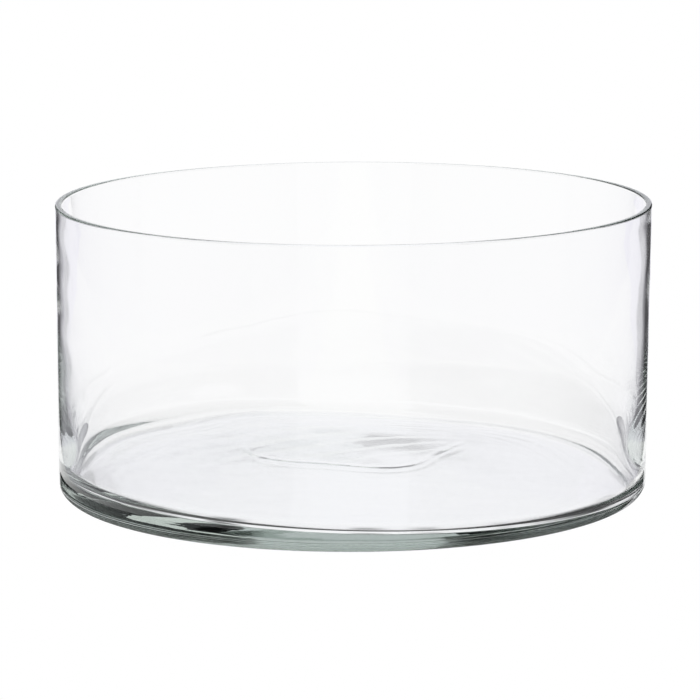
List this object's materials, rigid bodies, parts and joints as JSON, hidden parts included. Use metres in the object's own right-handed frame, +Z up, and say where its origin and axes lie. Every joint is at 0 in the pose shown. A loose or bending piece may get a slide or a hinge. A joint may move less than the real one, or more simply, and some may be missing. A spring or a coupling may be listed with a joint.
{
  "type": "crystallizing dish",
  "caption": "Large straight-sided crystallizing dish of clear glass, with a flat thick base, rounded heel and plain, nearly flat fire-polished rim.",
  "frame": {"origin": "centre of the surface that the dish stands on, on the dish's own axis", "axes": "+Z up along the axis of the round wall, towards the open rim; the dish is the same all the way round, so +X and +Y are free"},
  "size_m": [0.3, 0.3, 0.148],
  "materials": {
    "clear_glass": "clear polished blown glass, with a faint grey-green tint where it is seen edge on"
  },
  "bodies": {
    "root": {"glass_dish": "clear_glass"}
  },
  "joints": []
}
